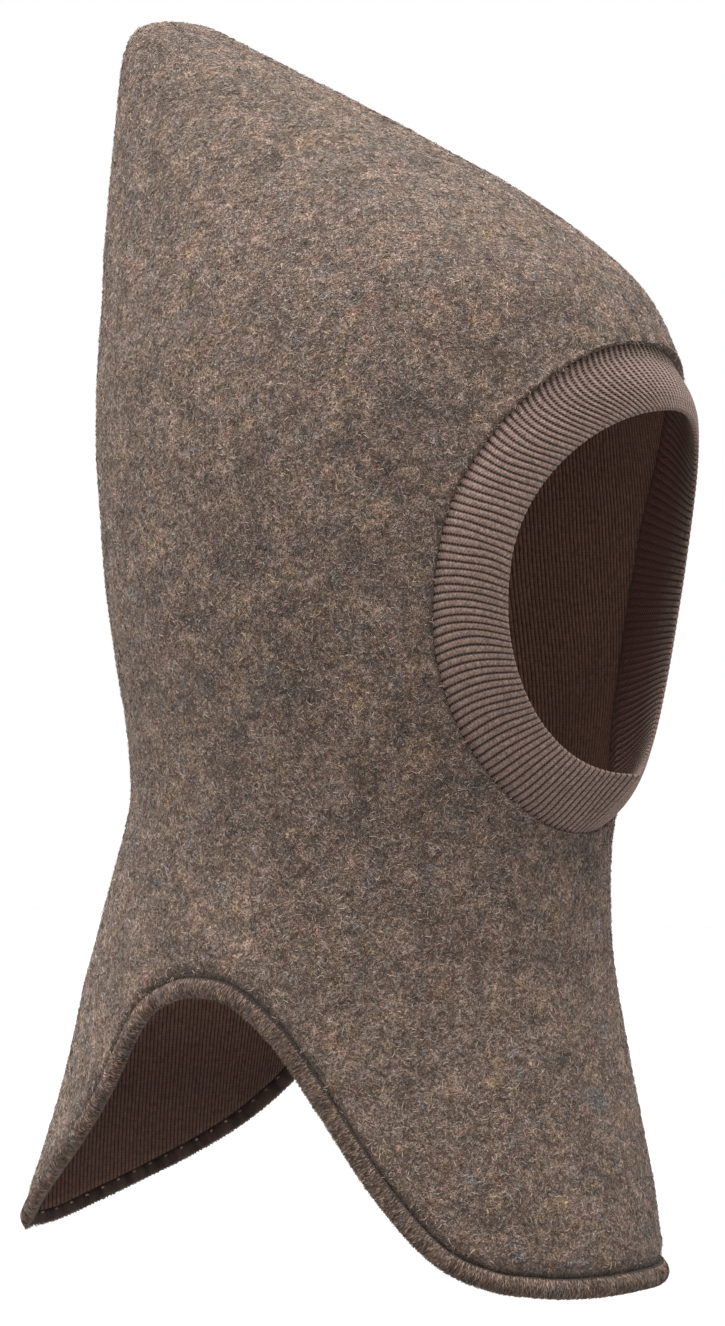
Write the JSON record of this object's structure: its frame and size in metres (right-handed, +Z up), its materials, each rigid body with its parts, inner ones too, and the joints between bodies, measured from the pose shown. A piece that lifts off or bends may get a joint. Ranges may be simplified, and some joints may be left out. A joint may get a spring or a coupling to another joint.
{
  "type": "fleece hood",
  "caption": "Pointed wool-fleece balaclava hood with a ribbed face band, jersey lining and rounded front and back bibs.",
  "frame": {"origin": "inside the crown on the centre plane, where the top of a head carries the hood", "axes": "+Z up, the face opening looks along -Y, +X to the wearer's left"},
  "size_m": [0.1564, 0.2259, 0.3761],
  "materials": {
    "melange_fleece": "brushed grey-brown melange wool fleece with a short curly nap",
    "rib_knit": "matt taupe rib knit, folded double",
    "dark_jersey": "dark brown fine rib jersey",
    "overlocked_edge": "rolled fleece edge under dense overlock stitches"
  },
  "bodies": {
    "root": {"fleece_right": "melange_fleece", "fleece_left": "melange_fleece", "lining_right": "dark_jersey", "lining_left": "dark_jersey", "rib_band": "rib_knit", "hem": "overlocked_edge"}
  },
  "joints": []
}
